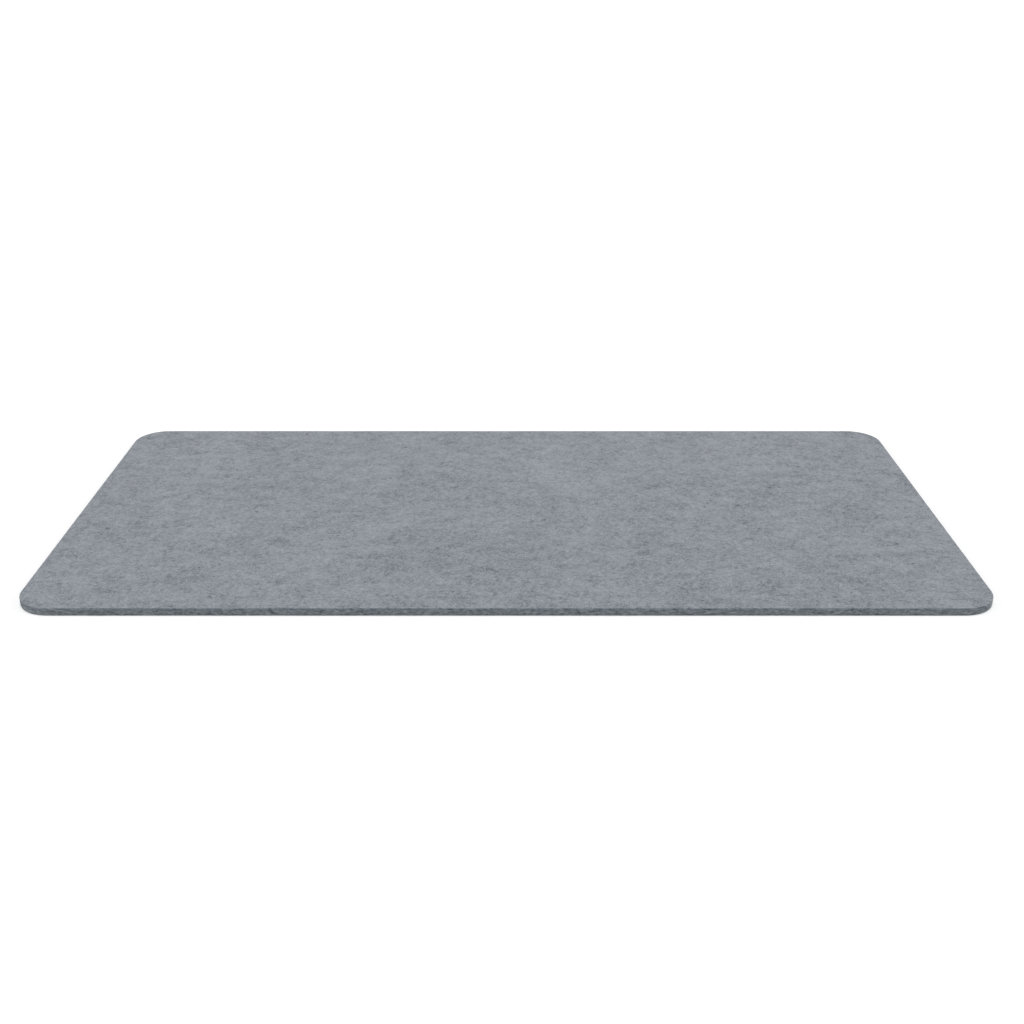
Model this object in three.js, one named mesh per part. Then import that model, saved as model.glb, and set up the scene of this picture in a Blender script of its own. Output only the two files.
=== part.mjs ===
// Felt desk mat: two felt plies bonded by an adhesive film, on low non-slip pads.
//
// Millimetres, +Z up. +X runs along the mat's long side and +Y away from the person at the
// desk. The origin is on the desk surface, under the centre of the mat.

import * as THREE from 'three';

// The mat's outline
const MAT_WIDTH = 800;
const MAT_DEPTH = 400;
const CORNER_RADIUS = 30;

// The laminate, from the desk up: pads, base felt, film, face felt
const PLY_THICKNESS = 3;
const FILM_THICKNESS = 0.2;
const FILM_INSET = 1.5; // the film stops short of the cut edge, so that no glue shows there

// The non-slip pads, stuck under the base felt in rows and columns
const PAD_DIAMETER = 32;
const PAD_THICKNESS = 0.6;
const PAD_EDGE_DROP = 0.15; // how much lower the pad is at its rim, on the desk side
const PAD_EDGE_WIDTH = 0.5; // how far that slope reaches in from the rim
const PAD_MARGIN_X = 50; // from the mat's short sides to the centres of the outer pads
const PAD_MARGIN_Y = 45; // from the mat's long sides to the centres of the outer pads
const PAD_ROW_NAMES = ['front', 'middle', 'back'];
const PADS_PER_ROW = 4;

// How finely the round shapes are divided
const CORNER_SEGMENTS = 16;
const PAD_SEGMENTS = 40;

const BASE_FELT_Z = PAD_THICKNESS;
const FILM_Z = BASE_FELT_Z + PLY_THICKNESS;
const FACE_FELT_Z = FILM_Z + FILM_THICKNESS;

const feltMaterial = new THREE.MeshStandardMaterial({
  color: 0x8e9399,
  roughness: 0.95,
  metalness: 0,
});
const filmMaterial = new THREE.MeshStandardMaterial({
  color: 0xdedcd2,
  roughness: 0.45,
  metalness: 0,
});
const padMaterial = new THREE.MeshStandardMaterial({
  color: 0x2b2d30,
  roughness: 0.6,
  metalness: 0,
});

// A rectangle with round corners, centred on the origin.
function roundedRectangle(width, depth, radius) {
  const cornerX = width / 2 - radius;
  const cornerY = depth / 2 - radius;
  const outline = new THREE.Shape();
  outline.absarc(cornerX, cornerY, radius, 0, Math.PI / 2);
  outline.absarc(-cornerX, cornerY, radius, Math.PI / 2, Math.PI);
  outline.absarc(-cornerX, -cornerY, radius, Math.PI, 1.5 * Math.PI);
  outline.absarc(cornerX, -cornerY, radius, 1.5 * Math.PI, 2 * Math.PI);
  outline.closePath();
  return outline;
}

// A flat layer of the mat, cut to the mat's outline less an inset all round.
function layer(name, material, bottom, thickness, inset) {
  const outline = roundedRectangle(
    MAT_WIDTH - 2 * inset,
    MAT_DEPTH - 2 * inset,
    CORNER_RADIUS - inset,
  );
  const geometry = new THREE.ExtrudeGeometry(outline, {
    depth: thickness,
    bevelEnabled: false,
    curveSegments: CORNER_SEGMENTS,
  });
  const mesh = new THREE.Mesh(geometry, material);
  mesh.name = name;
  mesh.position.z = bottom;
  return mesh;
}

// One non-slip pad: a thin disc, flat on both faces, its rim eased on the desk side.
function gripPad(name, x, y) {
  const radius = PAD_DIAMETER / 2;
  const profile = [
    new THREE.Vector2(0, 0),
    new THREE.Vector2(radius - PAD_EDGE_WIDTH, 0),
    new THREE.Vector2(radius, PAD_EDGE_DROP),
    new THREE.Vector2(radius, PAD_THICKNESS),
    new THREE.Vector2(0, PAD_THICKNESS),
  ];
  const geometry = new THREE.LatheGeometry(profile, PAD_SEGMENTS);
  geometry.rotateX(Math.PI / 2); // the lathe turns about +Y, and the pad about +Z
  const mesh = new THREE.Mesh(geometry, padMaterial);
  mesh.name = name;
  mesh.position.set(x, y, 0);
  return mesh;
}

// The rows run front to back, and each is numbered from the left.
function gripPads() {
  const reachX = MAT_WIDTH / 2 - PAD_MARGIN_X;
  const reachY = MAT_DEPTH / 2 - PAD_MARGIN_Y;
  const pads = new THREE.Group();
  PAD_ROW_NAMES.forEach((row, j) => {
    const y = THREE.MathUtils.lerp(-reachY, reachY, j / (PAD_ROW_NAMES.length - 1));
    for (let i = 0; i < PADS_PER_ROW; i += 1) {
      const x = THREE.MathUtils.lerp(-reachX, reachX, i / (PADS_PER_ROW - 1));
      pads.add(gripPad(`grip_pad_${row}_${i + 1}`, x, y));
    }
  });
  return pads;
}

const group = new THREE.Group();
group.add(layer('face_felt', feltMaterial, FACE_FELT_Z, PLY_THICKNESS, 0));
group.add(layer('bond_film', filmMaterial, FILM_Z, FILM_THICKNESS, FILM_INSET));
group.add(layer('base_felt', feltMaterial, BASE_FELT_Z, PLY_THICKNESS, 0));
group.add(gripPads());

export default group;
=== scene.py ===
import math

import bpy
import numpy as np
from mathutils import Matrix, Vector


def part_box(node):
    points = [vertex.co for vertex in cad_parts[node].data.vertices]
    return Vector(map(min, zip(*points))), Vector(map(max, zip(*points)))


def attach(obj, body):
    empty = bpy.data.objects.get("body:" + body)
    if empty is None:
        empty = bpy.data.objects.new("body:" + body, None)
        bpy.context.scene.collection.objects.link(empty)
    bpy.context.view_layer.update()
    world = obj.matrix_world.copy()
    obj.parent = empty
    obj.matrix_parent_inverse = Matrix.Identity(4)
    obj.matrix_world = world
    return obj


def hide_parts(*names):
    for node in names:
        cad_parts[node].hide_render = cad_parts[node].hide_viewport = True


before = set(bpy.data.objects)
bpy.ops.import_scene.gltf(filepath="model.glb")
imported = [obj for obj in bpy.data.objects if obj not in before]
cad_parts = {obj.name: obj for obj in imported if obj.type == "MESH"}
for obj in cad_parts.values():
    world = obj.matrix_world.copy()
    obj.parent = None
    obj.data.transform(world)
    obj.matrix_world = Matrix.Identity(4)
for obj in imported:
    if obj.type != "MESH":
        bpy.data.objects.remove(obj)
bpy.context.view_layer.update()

# Looks of a felt desk mat. Metres, in the CAD's frame: the mat lies on the plane z = 0, its long
# side along X, and the person at the desk sits on the -Y side.

BODY = "root"
MM = 0.001

# ---------------------------------------------------------------- sizes, from the frame

FACE_LOW, FACE_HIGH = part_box("face_felt")
BASE_LOW, BASE_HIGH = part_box("base_felt")
WIDTH = FACE_HIGH.x - FACE_LOW.x
DEPTH = FACE_HIGH.y - FACE_LOW.y
TOP_Z = FACE_HIGH.z
GLUE_TOP_Z = FACE_LOW.z
GLUE_BOTTOM_Z = BASE_HIGH.z
SEAM_Z = (GLUE_TOP_Z + GLUE_BOTTOM_Z) / 2
PAD_NODES = sorted(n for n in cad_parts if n.startswith("grip_pad_"))
PAD_LOW, PAD_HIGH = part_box(PAD_NODES[0])
PAD_TOP_Z = PAD_HIGH.z
PAD_RADIUS = (PAD_HIGH.x - PAD_LOW.x) / 2
CORNER_RADIUS = 30 * MM  # as in the CAD

# ---------------------------------------------------------------- sizes of a felt ply

GRID_STEP = 2.0 * MM
CORNER_STEPS = 24
ARRIS_RADIUS = 0.35 * MM
ARRIS_STEPS = 3
SIDE_STEP = 0.36 * MM
LIP_DEPTH = 1.0 * MM  # the cut edges of the two plies close over the film for this far in
LIP_END = 1.4 * MM
LIP_GAP = 0.01 * MM
BEDDING_Z = 0.12 * MM  # how high the underside lies between the pads, which sink into it
BEDDING_START = PAD_RADIUS + 1.5 * MM
BEDDING_END = PAD_RADIUS + 17 * MM
FACE_TILT = 45  # felt tilted by less than this is face felt, and the rest is cut edge

# The felt's relief: bumps about one cell apart, which stand up or down by about the height.
# Each is (cell, height).
BROAD_WAVES = (70 * MM, 0.05 * MM)
PATCHES = (16 * MM, 0.03 * MM)
CLUMPS = (5 * MM, 0.05 * MM)
CUT_STRATA = ((7 * MM, 7 * MM, 0.9 * MM), 0.09 * MM)
CUT_FRAY = ((2.6 * MM, 2.6 * MM, 0.6 * MM), 0.06 * MM)
TUFT_CELL = 7 * MM
TUFT_HEIGHT = 0.04 * MM
TUFT_SHARPNESS = 4
WARP_CELL = 9 * MM  # clumps and tufts are bent sideways by up to the reach
WARP_REACH = 3 * MM

# ---------------------------------------------------------------- sizes of the loose fibres

FIBRE_RADIUS = 0.035 * MM
FIBRE_POINTS = 7
FIBRE_SIDES = 3
FIBRE_SINK = 0.06 * MM  # how deep a fibre's ends are worked in

FACE_FIBRES = 3600
FACE_FIBRE_LENGTH = (4 * MM, 13 * MM)
FACE_FIBRE_BEND = 1.5  # radians from end to end
FACE_FIBRE_LIFT = (1.5, 0.07 * MM)  # shape and scale of a gamma distribution

EDGE_FIBRES = 1100
EDGE_FIBRE_RUN = (0.8, 2.6)  # in points of the outline
EDGE_FIBRE_MARGIN = 0.5 * MM  # from the arrises to where a fibre starts
EDGE_FIBRE_DRIFT = 0.5 * MM
EDGE_FIBRE_REACH = (2, 0.14 * MM)  # shape and scale of a gamma distribution
EDGE_FIBRE_CURL = 1.5
EDGE_FIBRE_LOWEST = BASE_LOW.z + 0.3 * MM
EDGE_FIBRE_HIGHEST = TOP_Z - 0.2 * MM

# ---------------------------------------------------------------- sizes of a grip pad

PAD_SIDES = 64
PAD_RIM = 1.5 * MM
PAD_ROUND = 0.2 * MM
ROUND_STEPS = 3
PAD_TAPER = 0.05 * MM  # the wall leans in by this much, up to this far below the pad's top
PAD_TOP_EASE = 0.15 * MM
RIB_PITCH = 2.0 * MM
RIB_DEPTH = 0.25 * MM
RIB_STEPS = 6


# ---------------------------------------------------------------- noise and relief

class Noise:
    """Smooth gradient noise in three dimensions, of about -1 to 1."""

    SIZE = 256
    GAIN = 1.6

    def __init__(self, seed):
        draw = np.random.default_rng(seed)
        self.order = draw.permutation(self.SIZE)
        slopes = draw.normal(size=(self.SIZE, 3))
        self.slopes = slopes / np.linalg.norm(slopes, axis=1)[:, None]

    def slope(self, corner):
        """The slope that belongs to each corner of the lattice."""
        i, j, k = (corner % self.SIZE).T
        row = self.order[(self.order[i] + j) % self.SIZE]
        return self.slopes[self.order[(row + k) % self.SIZE]]

    def __call__(self, points, cell):
        at = points / cell
        corner = np.floor(at).astype(int)
        part = at - corner
        fade = part ** 3 * (part * (part * 6 - 15) + 10)
        total = np.zeros(len(points))
        for step in np.ndindex(2, 2, 2):
            share = np.where(step, fade, 1 - fade).prod(axis=1)
            total += share * ((part - step) * self.slope(corner + step)).sum(axis=1)
        return total * self.GAIN


def smooth_step(value, start, end):
    t = np.clip((value - start) / (end - start), 0, 1)
    return t * t * (3 - 2 * t)


def bumps(seed, points, cell, height):
    return height * Noise(seed)(points, cell)


def face_relief(points):
    """How far the felt's face stands up or down at these points: broad waves, clumps of fibre and the
    ridges of single tufts."""
    warp = [bumps(seed, points, WARP_CELL, WARP_REACH) for seed in (11, 12)]
    warped = points + np.stack([*warp, np.zeros(len(points))], axis=1)
    ridges = 1 - np.abs(Noise(16)(warped, TUFT_CELL)) * TUFT_SHARPNESS
    return (
        bumps(13, points, *BROAD_WAVES)
        + bumps(14, points, *PATCHES)
        + bumps(15, warped, *CLUMPS)
        + TUFT_HEIGHT * np.clip(ridges, 0, 1)
    )


def edge_relief(points):
    """How far the cut edge stands out: short flat strata, as the blade leaves the layered fibres."""
    return bumps(21, points, *CUT_STRATA) + bumps(22, points, *CUT_FRAY)


# ---------------------------------------------------------------- making a piece

def new_piece(name, points, faces, finishes):
    """A smooth-shaded mesh object that moves with the mat."""
    mesh = bpy.data.meshes.new(name)
    mesh.from_pydata(points, [], faces)
    for finish in finishes:
        mesh.materials.append(materials[finish])
    mesh.polygons.foreach_set("use_smooth", [True] * len(faces))
    mesh.update()
    piece = bpy.data.objects.new(name, mesh)
    bpy.context.scene.collection.objects.link(piece)
    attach(piece, BODY)
    return piece


# ---------------------------------------------------------------- felt plies

def grid_steps():
    """How many steps the grid between the corners has along X and along Y."""
    inner_x, inner_y = WIDTH - 2 * CORNER_RADIUS, DEPTH - 2 * CORNER_RADIUS
    return round(inner_x / GRID_STEP), round(inner_y / GRID_STEP)


def outline_loop(inset):
    """The mat's outline, this far in from the edge, anticlockwise from above, as an array of points.
    Every loop has the same number of points in the same order."""
    x, y = WIDTH / 2 - CORNER_RADIUS, DEPTH / 2 - CORNER_RADIUS
    radius = CORNER_RADIUS - inset
    steps_x, steps_y = grid_steps()
    sides = [
        ((-x, -y), (x, -y), steps_x, -90),
        ((x, -y), (x, y), steps_y, 0),
        ((x, y), (-x, y), steps_x, 90),
        ((-x, y), (-x, -y), steps_y, 180),
    ]
    points = []
    for start, end, steps, heading in sides:
        start, end = np.array(start), np.array(end)
        out = np.array([math.cos(math.radians(heading)), math.sin(math.radians(heading))])
        along = np.arange(steps)[:, None] / steps
        points.append(start + (end - start) * along + out * radius)
        turn = np.radians(heading + 90 * np.arange(CORNER_STEPS) / CORNER_STEPS)
        points.append(end + radius * np.stack([np.cos(turn), np.sin(turn)], axis=1))
    return np.concatenate(points)


def outline_normals():
    out = outline_loop(0) - outline_loop(1 * MM)
    return out / np.linalg.norm(out, axis=1)[:, None]


def ply_loops(outer_z, inner_z, lip_z):
    """The loops round a ply as (inset, z, tilt), from the grid out and round to the inner face. The tilt
    is 0 on the flat face, 90 on the cut edge, and None where nothing is rough."""
    up = 1 if outer_z > inner_z else -1
    ring_steps = round(CORNER_RADIUS / GRID_STEP)
    loops = [
        (CORNER_RADIUS * (1 - k / ring_steps) + ARRIS_RADIUS * k / ring_steps, outer_z, 0)
        for k in range(1, ring_steps + 1)
    ]
    for k in range(1, ARRIS_STEPS + 1):
        turn = math.radians(90) * k / ARRIS_STEPS
        inset = ARRIS_RADIUS * (1 - math.sin(turn))
        drop = ARRIS_RADIUS * (1 - math.cos(turn))
        loops.append((inset, outer_z - up * drop, math.degrees(turn)))
    side_top = outer_z - up * ARRIS_RADIUS
    side_steps = round(abs(side_top - lip_z) / SIDE_STEP)
    for k in range(1, side_steps + 1):
        loops.append((0, side_top + (lip_z - side_top) * k / side_steps, 90))
    loops += [(LIP_DEPTH, lip_z, None), (LIP_END, inner_z, None)]
    return loops


def ply_points(outer_z, up, loops):
    """A ply's points, which are a flat grid between the corners and then the loops one by one. Also the
    direction that the felt faces at each point, and how rough it is there, from 0 to 1."""
    steps_x, steps_y = grid_steps()
    xs = np.linspace(-1, 1, steps_x + 1) * (WIDTH / 2 - CORNER_RADIUS)
    ys = np.linspace(-1, 1, steps_y + 1) * (DEPTH / 2 - CORNER_RADIUS)
    grid = np.stack(np.meshgrid(xs, ys, indexing="xy"), axis=-1).reshape(-1, 2)
    points = [np.column_stack([grid, np.full(len(grid), outer_z)])]
    normals = [np.tile([0.0, 0.0, up], (len(grid), 1))]
    rough = [np.ones(len(grid))]
    outward = outline_normals()
    count = len(outward)
    for inset, z, tilt in loops:
        turn = math.radians(tilt or 0)
        points.append(np.column_stack([outline_loop(inset), np.full(count, z)]))
        normals.append(np.column_stack([outward * math.sin(turn), np.full(count, up * math.cos(turn))]))
        rough.append(np.full(count, 0.0 if tilt is None else 1.0))
    return [np.concatenate(parts) for parts in (points, normals, rough)]


def ply_faces(loops):
    """The faces over a ply's points, anticlockwise from outside for the upper ply, and the slot of each
    one's finish: 0 for face felt and 1 for a cut. The last face is the flat inner one."""
    steps_x, steps_y = grid_steps()

    def corner(i, j):
        return j * (steps_x + 1) + i

    faces = [
        (corner(i, j), corner(i + 1, j), corner(i + 1, j + 1), corner(i, j + 1))
        for j in range(steps_y)
        for i in range(steps_x)
    ]
    slots = [0] * len(faces)

    # the grid's rim, where each corner point answers to a whole quarter circle of the loops
    rim = [corner(i, 0) for i in range(steps_x)] + [corner(steps_x, 0)] * CORNER_STEPS
    rim += [corner(steps_x, j) for j in range(steps_y)] + [corner(steps_x, steps_y)] * CORNER_STEPS
    rim += [corner(i, steps_y) for i in range(steps_x, 0, -1)] + [corner(0, steps_y)] * CORNER_STEPS
    rim += [corner(0, j) for j in range(steps_y, 0, -1)] + [corner(0, 0)] * CORNER_STEPS

    first, count = (steps_x + 1) * (steps_y + 1), len(rim)
    rings = [rim] + [list(range(first + k * count, first + (k + 1) * count)) for k in range(len(loops))]
    for (_, _, tilt), inner, outer in zip(loops, rings, rings[1:]):
        slot = 0 if tilt is not None and tilt < FACE_TILT else 1
        for m in range(count):
            n = (m + 1) % count
            face = (inner[m], outer[m], outer[n], inner[n])
            faces.append(face if inner[m] != inner[n] else face[:3])
            slots.append(slot)
    faces.append(tuple(reversed(rings[-1])))
    slots.append(1)
    return faces, slots


def felt_ply(name, node, outer_z, inner_z, lip_z, cut_finish, underside=None):
    """One ply as a closed mesh: a fine grid over its outer face, rings out to the round edge, the cut
    edge, a lip that closes over the film, and a flat inner face."""
    up = 1 if outer_z > inner_z else -1
    loops = ply_loops(outer_z, inner_z, lip_z)
    points, normals, rough = ply_points(outer_z, up, loops)

    # the face's share of the relief fades into the edge's over the arris
    on_face = np.abs(normals[:, 2])
    height = rough * (on_face * face_relief(points) + (1 - on_face) * edge_relief(points))
    if underside is not None:
        points[:, 2] -= rough * underside(points) * on_face
    points = points + normals * height[:, None]

    faces, slots = ply_faces(loops)
    if up < 0:
        faces = [tuple(reversed(face)) for face in faces]
    piece = new_piece(name, points.tolist(), faces, ["felt_face", cut_finish])
    piece.data.polygons.foreach_set("material_index", slots)
    piece.data.polygons[len(faces) - 1].use_smooth = False
    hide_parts(node)
    return piece


def bedding(points):
    """How far below the pads' tops the underside hangs: the pads sink into the soft felt, and between
    them it nearly reaches the desk."""
    nearest = np.full(len(points), np.inf)
    for node in PAD_NODES:
        low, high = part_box(node)
        centre = (low + high) / 2
        nearest = np.minimum(nearest, np.hypot(points[:, 0] - centre.x, points[:, 1] - centre.y))
    return (PAD_TOP_Z - BEDDING_Z) * smooth_step(nearest, BEDDING_START, BEDDING_END)


# ---------------------------------------------------------------- loose fibres

def distance_in(points):
    """How far in from the mat's outline the points lie."""
    over = np.abs(points[..., :2]) - (np.array([WIDTH, DEPTH]) / 2 - CORNER_RADIUS)
    past_both = np.linalg.norm(np.maximum(over, 0), axis=-1)
    return CORNER_RADIUS - past_both - np.minimum(over.max(axis=-1), 0)


def face_fibre_paths():
    """Fibres that lie on the face in loose arcs, both ends worked into the felt."""
    draw = np.random.default_rng(31)
    one_each = (FACE_FIBRES, 1)
    place = draw.uniform(-1, 1, (FACE_FIBRES, 2)) * [WIDTH / 2, DEPTH / 2]
    step = draw.uniform(*FACE_FIBRE_LENGTH, one_each) / (FIBRE_POINTS - 1)
    heading = draw.uniform(0, 2 * math.pi, one_each)
    bend = draw.normal(0, FACE_FIBRE_BEND, one_each)
    lift = draw.gamma(*FACE_FIBRE_LIFT, one_each)
    along = np.linspace(0, 1, FIBRE_POINTS)
    turned = heading + bend * (along - 0.5)
    x = place[:, :1] + np.cumsum(step * np.cos(turned), axis=1)
    y = place[:, 1:] + np.cumsum(step * np.sin(turned), axis=1)
    paths = np.stack([x, y, np.full_like(x, TOP_Z)], axis=-1)

    # fibres that reach the arris are dropped; the lifts are independent, so the first ones serve
    paths = paths[distance_in(paths).min(axis=1) > 2 * ARRIS_RADIUS]
    lift = lift[:len(paths)]
    relief = face_relief(paths.reshape(-1, 3)).reshape(paths.shape[:2])
    paths[..., 2] += relief + lift * np.sin(math.pi * along) - FIBRE_SINK
    return paths


def edge_fibre_paths():
    """Fibres that stand off the cut edge: each starts in the felt, runs along the edge and ends free."""
    draw = np.random.default_rng(32)
    one_each = (EDGE_FIBRES, 1)
    loop, outward = outline_loop(0), outline_normals()
    count = len(loop)
    start = draw.uniform(0, count, one_each)
    run = draw.uniform(*EDGE_FIBRE_RUN, one_each) * draw.choice([-1, 1], one_each)
    height = draw.uniform(BASE_LOW.z + EDGE_FIBRE_MARGIN, TOP_Z - EDGE_FIBRE_MARGIN, one_each)
    slope = draw.normal(0, EDGE_FIBRE_DRIFT, one_each)
    reach = draw.gamma(*EDGE_FIBRE_REACH, one_each)
    along = np.linspace(0, 1, FIBRE_POINTS)
    at = start + run * along

    def round_loop(values):
        return np.interp(at, np.arange(count), values, period=count)

    z = np.clip(height + slope * along, EDGE_FIBRE_LOWEST, EDGE_FIBRE_HIGHEST)
    paths = np.stack([round_loop(loop[:, 0]), round_loop(loop[:, 1]), z], axis=-1)
    out = np.stack([round_loop(outward[:, 0]), round_loop(outward[:, 1]), 0 * z], axis=-1)
    relief = edge_relief(paths.reshape(-1, 3)).reshape(z.shape)
    stand = relief + reach * along ** EDGE_FIBRE_CURL - FIBRE_SINK
    return paths + out * stand[..., None]


def fibre_faces():
    """The faces of one fibre, whose points are its first end, its rings and its last end."""
    rings = FIBRE_POINTS - 2
    last_ring = 1 + FIBRE_SIDES * (rings - 1)
    end = last_ring + FIBRE_SIDES
    faces = []
    for side in range(FIBRE_SIDES):
        after = (side + 1) % FIBRE_SIDES
        faces.append((0, 1 + side, 1 + after))
        for ring in range(rings - 1):
            here = 1 + FIBRE_SIDES * ring
            there = here + FIBRE_SIDES
            faces.append((here + side, there + side, there + after, here + after))
        faces.append((last_ring + side, end, last_ring + after))
    return faces


def fibres(name, paths):
    """Closed tubes, pointed at both ends, along paths given as fibres by points by xyz."""
    count = len(paths)
    along = np.gradient(paths, axis=1)
    along /= np.linalg.norm(along, axis=2, keepdims=True)
    across = np.cross(along, [0, 0, 1])
    across /= np.linalg.norm(across, axis=2, keepdims=True)
    rise = np.cross(across, along)
    turns = math.radians(90) + 2 * math.pi * np.arange(FIBRE_SIDES) / FIBRE_SIDES
    sides = [math.cos(turn) * across + math.sin(turn) * rise for turn in turns]
    rings = np.stack([paths + FIBRE_RADIUS * side for side in sides], axis=2)[:, 1:-1]
    points = np.concatenate([paths[:, :1], rings.reshape(count, -1, 3), paths[:, -1:]], axis=1)

    one, size = fibre_faces(), points.shape[1]
    faces = [tuple(k * size + corner for corner in face) for k in range(count) for face in one]
    piece = new_piece(name, points.reshape(-1, 3).tolist(), faces, ["felt_fibre"])
    return piece


# ---------------------------------------------------------------- grip pads

def pad_profile():
    """Half a section through a pad as (radius, z), from under its middle round to above it: concentric
    ribs, a plain rim with a round corner, and the flat side that is glued to the felt."""
    ribs_end = PAD_RADIUS - PAD_RIM
    steps = round(ribs_end / RIB_PITCH) * RIB_STEPS
    profile = []
    for k in range(1, steps + 1):
        groove = RIB_DEPTH * (0.5 - 0.5 * math.cos(2 * math.pi * k / RIB_STEPS))
        profile.append((ribs_end * k / steps, groove))
    profile.append((PAD_RADIUS - 2 * PAD_ROUND, 0))
    for k in range(ROUND_STEPS + 1):
        turn = math.radians(90) * k / ROUND_STEPS
        radius = PAD_RADIUS - PAD_ROUND + PAD_ROUND * math.sin(turn)
        profile.append((radius, PAD_ROUND * (1 - math.cos(turn))))
    profile.append((PAD_RADIUS - PAD_TAPER, PAD_TOP_Z - PAD_TAPER))
    profile.append((PAD_RADIUS - PAD_TOP_EASE, PAD_TOP_Z))
    profile.append((PAD_RADIUS / 2, PAD_TOP_Z))
    return profile


def grip_pad(node):
    """A ribbed pad: the profile turned round the middle of the CAD's plain disc."""
    low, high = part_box(node)
    middle = (low + high) / 2
    profile = pad_profile()
    turn = np.arange(PAD_SIDES) * 2 * math.pi / PAD_SIDES
    ring = np.stack([np.cos(turn), np.sin(turn)], axis=1)
    points = [(middle.x, middle.y, 0)]
    for radius, z in profile:
        points += [(middle.x + radius * x, middle.y + radius * y, z) for x, y in ring]
    points.append((middle.x, middle.y, PAD_TOP_Z))

    faces = []
    last = len(points) - 1
    top = 1 + (len(profile) - 1) * PAD_SIDES
    for m in range(PAD_SIDES):
        n = (m + 1) % PAD_SIDES
        faces.append((0, 1 + n, 1 + m))
        for k in range(len(profile) - 1):
            inner, outer = 1 + k * PAD_SIDES, 1 + (k + 1) * PAD_SIDES
            faces.append((inner + m, inner + n, outer + n, outer + m))
        faces.append((last, top + m, top + n))

    piece = new_piece(node.replace("grip_pad", "ribbed_pad"), points, faces, ["grip_pad"])
    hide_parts(node)
    return piece


# ---------------------------------------------------------------- node materials

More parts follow.
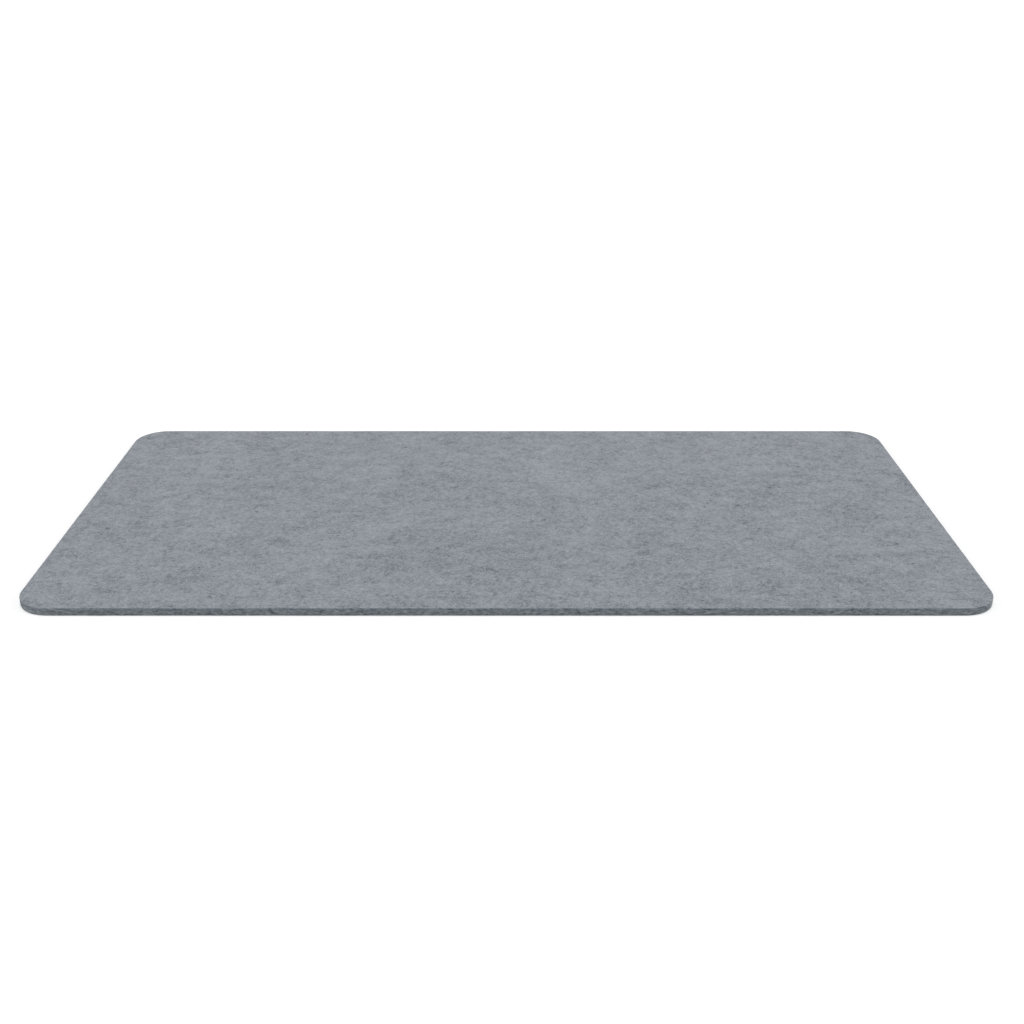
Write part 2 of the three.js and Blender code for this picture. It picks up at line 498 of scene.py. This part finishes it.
class Tree:
    """A short way to write a node material."""

    START_SPIN = (25, 0, 35)  # degrees
    SPIN_RATE = (1, 0, 2)
    SPIN_SHIFT = (0.011, 0.007, 0.003)
    LAYER_SPIN = 27
    FLECK_START = 0.08  # how far from its middle a noise begins to count as a fleck

    def __init__(self, name):
        self.material = bpy.data.materials.new(name)
        self.material.use_nodes = True
        self.tree = self.material.node_tree
        self.shader = self.tree.nodes["Principled BSDF"]
        self.place = self.node("ShaderNodeTexCoord").outputs["Object"]

    def node(self, kind, **inputs):
        made = self.tree.nodes.new(kind)
        for name, value in inputs.items():
            self.feed(made.inputs[name.replace("_", " ")], value)
        return made

    def feed(self, socket, value):
        if isinstance(value, bpy.types.NodeSocket):
            self.tree.links.new(value, socket)
        else:
            socket.default_value = value

    def maths(self, operation, *values):
        made = self.tree.nodes.new("ShaderNodeMath")
        made.operation = operation
        for socket, value in zip(made.inputs, values):
            self.feed(socket, value)
        return made.outputs[0]

    def add(self, *values):
        total = values[0]
        for value in values[1:]:
            total = self.maths("ADD", total, value)
        return total

    def stretched(self, vector, share, spin=0):
        """Where to read a noise that is drawn out by these shares along x, y and z. The noise's own
        lattice is spun first, so that its rows never show, and each spin gives another pattern."""
        made = self.node("ShaderNodeMapping", Vector=vector, Scale=[1 / part for part in share])
        turns = zip(self.START_SPIN, self.SPIN_RATE)
        made.inputs["Rotation"].default_value = [math.radians(turn + spin * rate) for turn, rate in turns]
        made.inputs["Location"].default_value = [spin * shift for shift in self.SPIN_SHIFT]
        return made.outputs[0]

    def combed(self, vector, length, heading):
        """Where to read a noise that is drawn out length times along a heading, in degrees from x."""
        made = self.node("ShaderNodeMapping", Vector=vector)
        made.vector_type = "TEXTURE"
        made.inputs["Scale"].default_value = (length, 1, 1)
        made.inputs["Rotation"].default_value = (0, 0, math.radians(heading))
        return self.stretched(made.outputs[0], (1, 1, 1), heading)

    def swirled(self, cell, reach):
        """Places shifted along x and y by up to reach, so that what is drawn there bends."""
        drift = self.node("ShaderNodeTexNoise", Vector=self.place, Scale=1 / cell, Detail=0)
        made = self.tree.nodes.new("ShaderNodeVectorMath")
        made.operation = "MULTIPLY_ADD"
        self.feed(made.inputs[0], drift.outputs["Color"])
        made.inputs[1].default_value = (reach, reach, 0)
        self.feed(made.inputs[2], self.place)
        return made.outputs[0]

    def noise(self, cell, vector=None, detail=0.0):
        """Noise from 0 to 1 whose bumps are about one cell apart."""
        place = self.place if vector is None else vector
        return self.node("ShaderNodeTexNoise", Vector=place, Scale=1 / cell, Detail=detail).outputs["Fac"]

    def centred(self, value, gain):
        return self.maths("MULTIPLY", self.maths("SUBTRACT", value, 0.5), gain)

    def ramp(self, value, start, end, low=0.0, high=1.0):
        made = self.tree.nodes.new("ShaderNodeMapRange")
        made.interpolation_type = "SMOOTHSTEP"
        for name, number in (("From Min", start), ("From Max", end), ("To Min", low), ("To Max", high)):
            made.inputs[name].default_value = number
        self.feed(made.inputs["Value"], value)
        return made.outputs[0]

    def grain(self, layers, vector=None):
        """1, made up and down by layers of noise, each of them (cell, share, strength): its cell in metres,
        the cell's proportions along x, y and z, and how much it counts."""
        tone = 1.0
        for number, (cell, share, strength) in enumerate(layers):
            lying = self.stretched(self.place if vector is None else vector, share, self.LAYER_SPIN * number)
            tone = self.add(tone, self.centred(self.noise(cell, vector=lying), strength))
        return tone

    def flecked(self, tone, noise, fade, light, dark):
        """tone with light added where the noise is high and dark added where it is low."""
        high, low = 0.5 + self.FLECK_START, 0.5 - self.FLECK_START
        return self.add(
            tone, self.ramp(noise, high, high + fade, 0, light), self.ramp(noise, low, low - fade, 0, dark)
        )

    def sunk(self, tone, depth):
        """tone with its dark parts deeper and its light parts flatter."""
        away = self.maths("SUBTRACT", tone, 1)
        square = self.maths("MULTIPLY", away, away)
        return self.maths("SUBTRACT", tone, self.maths("MULTIPLY", square, depth))

    def tinted(self, colour, tone, swing=(1, 1, 1)):
        """colour made lighter or darker by the factor tone. The swing is how strongly each of red, green
        and blue follows."""
        made = self.tree.nodes.new("ShaderNodeVectorMath")
        made.operation = "MULTIPLY_ADD"
        self.feed(made.inputs[0], tone)
        made.inputs[1].default_value = [part * share for part, share in zip(colour, swing)]
        made.inputs[2].default_value = [part * (1 - share) for part, share in zip(colour, swing)]
        return made.outputs[0]

    def bump(self, height, distance, strength=1.0):
        made = self.node("ShaderNodeBump", Height=height, Distance=distance, Strength=strength)
        self.feed(self.shader.inputs["Normal"], made.outputs["Normal"])

    def finish(self, colour, roughness, **plain):
        self.feed(self.shader.inputs["Base Color"], colour)
        self.feed(self.shader.inputs["Roughness"], roughness)
        for name, value in plain.items():
            self.shader.inputs[name.replace("_", " ")].default_value = value
        return self.material


# ---------------------------------------------------------------- materials

FACE_COLOUR = (0.2440, 0.2672, 0.3022)
# The cut edges are darker than the face: painted shade for the pores one looks into along a cut.
UPPER_CUT_SHADED_COLOUR = (0.169, 0.194, 0.217)
LOWER_CUT_SHADED_COLOUR = (0.172, 0.194, 0.212)
FILM_COLOUR = (0.70, 0.68, 0.61)
PAD_COLOUR = (0.028, 0.030, 0.033)
FELT_SWING = (1.06, 1.00, 0.94)  # dark fibres are bluer than light ones
FELT_SHEEN_ROUGHNESS = 0.6

# Layers of the face's grain as (cell, share, strength), which Tree.grain explains.
FACE_GRAIN = (
    (70 * MM, (1, 1, 1), 0.20),
    (20 * MM, (1, 0.6, 1), 0.36),
    (6.5 * MM, (1, 1, 1), 0.21),
    (4 * MM, (1, 1, 1), 0.25),
    (2.6 * MM, (1, 1, 1), 0.20),
    (1 * MM, (1, 1, 1), 0.80),
    (0.4 * MM, (1, 1, 1), 0.56),
)
# Streaks of matted fibre in it as (width, length in widths, heading in degrees from x, strength).
FACE_STREAKS = (
    (0.9 * MM, 5, -9, 0.28),
    (0.8 * MM, 6, 8, 0.28),
    (2 * MM, 2.6, 64, 0.24),
    (1.5 * MM, 4, 116, 0.24),
)
GRAIN_SWIRL = (20 * MM, 5 * MM)
GRAIN_SINK = 0.55
PIT_CELL = 8 * MM
PIT_TONE = -0.16

# Single fibres pressed into the face.
STROKE_WIDTH = 1.2 * MM
STROKE_LENGTH = 5  # in widths
STROKE_HEADINGS = (-32, -6, 22, 68)
STROKE_SWIRL = (18 * MM, 9 * MM)
STROKE_TONES = (0.075, -0.11)

# Layers of the cut edge's grain, and the lumps in it.
CUT_GRAIN = (
    (18 * MM, (1, 1, 0.5), 0.20),
    (9 * MM, (1, 1, 0.22), 0.48),
    (4.5 * MM, (1, 1, 0.36), 0.60),
    (2.2 * MM, (1.4, 1.4, 0.7), 0.74),
    (1.1 * MM, (1, 1, 1), 0.60),
    (0.45 * MM, (1.6, 1.6, 0.6), 0.50),
)
LUMP_CELL = 3.8 * MM
LUMP_SHARE = (1, 1, 0.38)
LUMP_TONES = (0.34, -0.34)
FOOT_BOTTOM_Z = 0.1 * MM  # painted shade: the edge is darkened where it meets the desk
FOOT_TOP_Z = 1.4 * MM
FOOT_PAINTED_SHADE = -0.4
CUT_DARKEST = 0.45


def felt_face_material():
    """Blue-grey heathered felt: blotches, matted streaks, dark pits and short bent fibres."""
    t = Tree("felt_face")
    pits = t.noise(PIT_CELL, detail=1)
    swirled = t.swirled(*GRAIN_SWIRL)
    tone = t.add(t.grain(FACE_GRAIN, swirled), t.ramp(pits, 0.40, 0.22, 0, PIT_TONE))
    for width, length, heading, strength in FACE_STREAKS:
        streak = t.noise(width, vector=t.combed(swirled, length, heading))
        tone = t.add(tone, t.centred(streak, strength))
    tone = t.sunk(tone, GRAIN_SINK)
    height = t.noise(STROKE_WIDTH, detail=3)
    bent = t.swirled(*STROKE_SWIRL)
    for heading in STROKE_HEADINGS:
        stroke = t.noise(STROKE_WIDTH, vector=t.combed(bent, STROKE_LENGTH, heading))
        tone = t.flecked(tone, stroke, 0.18, *STROKE_TONES)
        height = t.add(height, stroke)
    t.bump(height, 0.12 * MM, 0.6)
    heather = t.tinted(FACE_COLOUR, tone, FELT_SWING)
    return t.finish(heather, 0.95, Sheen_Weight=0.2, Sheen_Roughness=FELT_SHEEN_ROUGHNESS)


def felt_cut_material(name, colour):
    """The cut edge of the same felt: darker, with painted shade for the pores one looks into, in fine level
    strata with flecks, and darkest at its foot, with painted shade where it meets the desk."""
    t = Tree(name)
    lump = t.noise(LUMP_CELL, vector=t.stretched(t.place, LUMP_SHARE))
    tone = t.flecked(t.grain(CUT_GRAIN), lump, 0.20, *LUMP_TONES)
    height = t.node("ShaderNodeSeparateXYZ", Vector=t.place).outputs["Z"]
    # painted shade: the cut edge grows darker towards its foot on the desk
    tone = t.add(tone, t.ramp(height, FOOT_BOTTOM_Z, FOOT_TOP_Z, FOOT_PAINTED_SHADE, 0))
    tone = t.maths("MAXIMUM", tone, CUT_DARKEST)
    t.bump(t.add(lump, t.noise(1 * MM, detail=3)), 0.2 * MM, 0.7)
    heather = t.tinted(colour, tone, FELT_SWING)
    return t.finish(heather, 0.97, Sheen_Weight=0.05, Sheen_Roughness=FELT_SHEEN_ROUGHNESS)


def fibre_material():
    """Single loose fibres, each paler or darker than the felt under it, and paler on the whole: partly their
    own mix of shades, partly painted light that offsets the shade on their thin tubes.
    """
    t = Tree("felt_fibre")
    # the tone runs high: painted light that lifts the shade on the thin tubes, over the fibres' own paler
    # and darker mix
    tone = t.ramp(t.noise(4 * MM, detail=1), 0.35, 0.65, 0.7, 2.2)
    heather = t.tinted(FACE_COLOUR, tone, FELT_SWING)
    return t.finish(heather, 0.8, Sheen_Weight=0.2, Sheen_Roughness=FELT_SHEEN_ROUGHNESS)


def film_material():
    """Milky hot-melt film."""
    t = Tree("bond_film")
    cloud = t.noise(9 * MM, detail=2)
    tone = t.add(1.0, t.centred(cloud, 0.15))
    t.bump(t.noise(0.8 * MM, detail=1), 0.05 * MM, 0.4)
    return t.finish(t.tinted(FILM_COLOUR, tone), t.ramp(cloud, 0.3, 0.7, 0.35, 0.5))


def pad_material():
    """Dark silicone with a fine pebbled moulding and a little dust."""
    t = Tree("grip_pad")
    pebble = t.node("ShaderNodeTexVoronoi", Vector=t.place, Scale=1 / (0.5 * MM)).outputs["Distance"]
    dust = t.noise(6 * MM, detail=3)
    tone = t.add(1.0, t.ramp(dust, 0.5, 0.75, 0, 0.8), t.centred(pebble, 0.1))
    t.bump(pebble, 0.06 * MM, 0.6)
    return t.finish(t.tinted(PAD_COLOUR, tone), t.ramp(dust, 0.35, 0.7, 0.45, 0.65))


materials = {
    "felt_face": felt_face_material(),
    "upper_cut": felt_cut_material("upper_cut", UPPER_CUT_SHADED_COLOUR),
    "lower_cut": felt_cut_material("lower_cut", LOWER_CUT_SHADED_COLOUR),
    "felt_fibre": fibre_material(),
    "bond_film": film_material(),
    "grip_pad": pad_material(),
}


# ---------------------------------------------------------------- camera, floor and light

CAMERA_PLACE = (0.0058, -1.3379, 0.6123)  # in mat widths
CAMERA_TILT = 24.57  # degrees below level
CAMERA_ANGLE = 45  # degrees of view
FLOOR_REACH = 60
FLOOR_COLOUR = (0.97, 0.97, 0.97, 1)
FLOOR_GLOW = 0.2  # lifts the floor to the white of a studio backdrop
SKY_STRENGTH = 0.28
SKY_SEEN = 1.1
LAMP_STRENGTH = 1.27
LAMP_SPREAD = 30  # degrees
FILL_STRENGTH = 1.0
FILL_TILT = 65


def camera():
    """Stands in front of the mat, a little to the right of its middle, and looks down on it."""
    data = bpy.data.cameras.new("camera")
    data.sensor_width = 36
    data.angle = math.radians(CAMERA_ANGLE)
    data.clip_start = 0.01
    data.clip_end = 200
    view = bpy.data.objects.new("camera", data)
    view.location = [part * WIDTH for part in CAMERA_PLACE]
    view.rotation_euler = (math.radians(90 - CAMERA_TILT), 0, 0)
    bpy.context.scene.collection.objects.link(view)
    bpy.context.scene.camera = view


def floor():
    t = Tree("floor")
    t.finish(FLOOR_COLOUR, 0.9, Emission_Color=(1, 1, 1, 1), Emission_Strength=FLOOR_GLOW)
    mesh = bpy.data.meshes.new("floor")
    corners = [(FLOOR_REACH * x, FLOOR_REACH * y, 0) for x, y in ((-1, -1), (1, -1), (1, 1), (-1, 1))]
    mesh.from_pydata(corners, [], [(0, 1, 2, 3)])
    mesh.materials.append(t.material)
    ground = bpy.data.objects.new("floor", mesh)
    bpy.context.scene.collection.objects.link(ground)


def soft_light(name, tilt, strength):
    """Far away and broad, so its shadows are soft. The tilt is how far it leans from overhead towards
    +X, in degrees."""
    data = bpy.data.lights.new(name, "SUN")
    data.angle = math.radians(LAMP_SPREAD)
    data.energy = strength
    lamp = bpy.data.objects.new(name, data)
    lamp.rotation_euler = (0, math.radians(tilt), 0)
    bpy.context.scene.collection.objects.link(lamp)


def studio():
    """A soft light overhead, a weaker one low on each side, and a dim sky, which the camera itself sees
    as white."""
    world = bpy.data.worlds.new("studio")
    world.use_nodes = True
    nodes, links = world.node_tree.nodes, world.node_tree.links
    sky = nodes["Background"]
    sky.inputs["Color"].default_value = (1, 1, 1, 1)
    seen = nodes.new("ShaderNodeLightPath").outputs["Is Camera Ray"]
    strength = nodes.new("ShaderNodeMapRange")
    strength.inputs["To Min"].default_value = SKY_STRENGTH
    strength.inputs["To Max"].default_value = SKY_SEEN
    links.new(seen, strength.inputs["Value"])
    links.new(strength.outputs[0], sky.inputs["Strength"])
    bpy.context.scene.world = world

    soft_light("overhead", 0, LAMP_STRENGTH)
    soft_light("left_fill", -FILL_TILT, FILL_STRENGTH)
    soft_light("right_fill", FILL_TILT, FILL_STRENGTH)

    bpy.context.scene.view_settings.view_transform = "Standard"
    bpy.context.scene.view_settings.look = "None"


camera()
floor()
studio()

# ---------------------------------------------------------------- the mat

UPPER_LIP_Z, LOWER_LIP_Z = SEAM_Z + LIP_GAP, SEAM_Z - LIP_GAP

upper = felt_ply("upper_felt", "face_felt", TOP_Z, GLUE_TOP_Z, UPPER_LIP_Z, "upper_cut")
lower = felt_ply("lower_felt", "base_felt", BASE_LOW.z, GLUE_BOTTOM_Z, LOWER_LIP_Z, "lower_cut", bedding)

fibres("face_fibres", face_fibre_paths())
fibres("edge_fibres", edge_fibre_paths())
for node in PAD_NODES:
    grip_pad(node)
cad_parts["bond_film"].data.materials.clear()
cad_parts["bond_film"].data.materials.append(materials["bond_film"])
